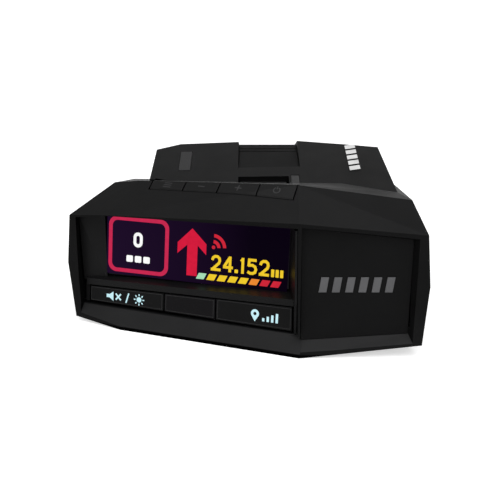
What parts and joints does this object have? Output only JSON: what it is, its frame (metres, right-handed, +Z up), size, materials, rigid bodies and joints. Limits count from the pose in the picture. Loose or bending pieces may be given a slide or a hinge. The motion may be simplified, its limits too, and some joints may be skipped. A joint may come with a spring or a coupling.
{
  "type": "radar detector",
  "caption": "Windscreen radar detector with a faceted face, a driver-angled display, front buttons, brow keys, a rear mount channel and side sockets.",
  "frame": {"origin": "centre of the bounding box footprint on the surface the flat underside rests on", "axes": "+Z up, the face with the display looks along -Y, the road end is at +Y, +X is to the right of someone facing the display"},
  "size_m": [0.089, 0.116, 0.0434],
  "materials": {
    "housing_plastic": "fine grained satin",
    "surround_plastic": "semi gloss",
    "badge_plastic": "fine matte",
    "emblem_print": "printed grey",
    "display_glass": "polished tinted window",
    "ir_window": "polished infrared tint",
    "button_plastic": "satin with lit legends",
    "key_plastic": "satin",
    "sensor_window": "smoked translucent",
    "badge_chrome": "polished",
    "contact_plastic": "satin grey",
    "screw_steel": "black zinc",
    "shield_metal": "tinned",
    "horn_metal": "cast",
    "circuit_board": "solder mask",
    "black_part": "moulded",
    "gasket_foam": "closed cell foam",
    "flex_film": "polyimide film",
    "ceramic": "ceramic patch",
    "label_film": "blank film"
  },
  "bodies": {
    "casing": {"upper_housing": "housing_plastic", "lower_housing": "housing_plastic", "display_surround": "surround_plastic", "badge_panel": "badge_plastic", "panel_emblem": "emblem_print", "display_lens": "display_glass", "display_module": "black_part", "display_frame": "shield_metal", "display_flex": "flex_film", "rear_laser_window": "ir_window", "rear_laser_sensor": "black_part", "button_switches": "shield_metal", "key_switches": "shield_metal", "key_board": "circuit_board", "main_board": "circuit_board", "rf_board": "circuit_board", "front_horn": "horn_metal", "rear_horn": "horn_metal", "rf_shield": "shield_metal", "processor_shield": "shield_metal", "laser_lens": "ir_window", "laser_sensor": "black_part", "road_end_cover": "ir_window", "gps_antenna": "ceramic", "speaker": "black_part", "speaker_gasket": "gasket_foam", "power_jack": "black_part", "audio_jack": "black_part", "usb_port": "shield_metal", "light_sensor_window": "sensor_window", "hump_badge": "badge_chrome", "mount_dock": "surround_plastic", "contact_block": "contact_plastic", "latch_spring": "shield_metal", "housing_screws": "screw_steel", "board_screws": "screw_steel", "label_plate": "label_film", "memory_cell": "shield_metal"},
    "mute_button": {"mute_button": "button_plastic"},
    "mark_button": {"mark_button": "button_plastic"},
    "menu_key": {"menu_key": "key_plastic"},
    "minus_key": {"minus_key": "key_plastic"},
    "plus_key": {"plus_key": "key_plastic"},
    "power_key": {"power_key": "key_plastic"}
  },
  "joints": [
    {"name": "mute_press", "type": "slide", "parent": "casing", "child": "mute_button", "axis": [0.3674, 0.9232, -0.1132], "range_m": [0, 0.0008], "stiffness_N_per_m": 700},
    {"name": "mark_press", "type": "slide", "parent": "casing", "child": "mark_button", "axis": [0.3674, 0.9232, -0.1132], "range_m": [0, 0.0008], "stiffness_N_per_m": 700},
    {"name": "menu_press", "type": "slide", "parent": "casing", "child": "menu_key", "axis": [0, 0, -1], "range_m": [0, 0.0006], "stiffness_N_per_m": 600},
    {"name": "minus_press", "type": "slide", "parent": "casing", "child": "minus_key", "axis": [0, 0, -1], "range_m": [0, 0.0006], "stiffness_N_per_m": 600},
    {"name": "plus_press", "type": "slide", "parent": "casing", "child": "plus_key", "axis": [0, 0, -1], "range_m": [0, 0.0006], "stiffness_N_per_m": 600},
    {"name": "power_press", "type": "slide", "parent": "casing", "child": "power_key", "axis": [0, 0, -1], "range_m": [0, 0.0006], "stiffness_N_per_m": 600}
  ]
}
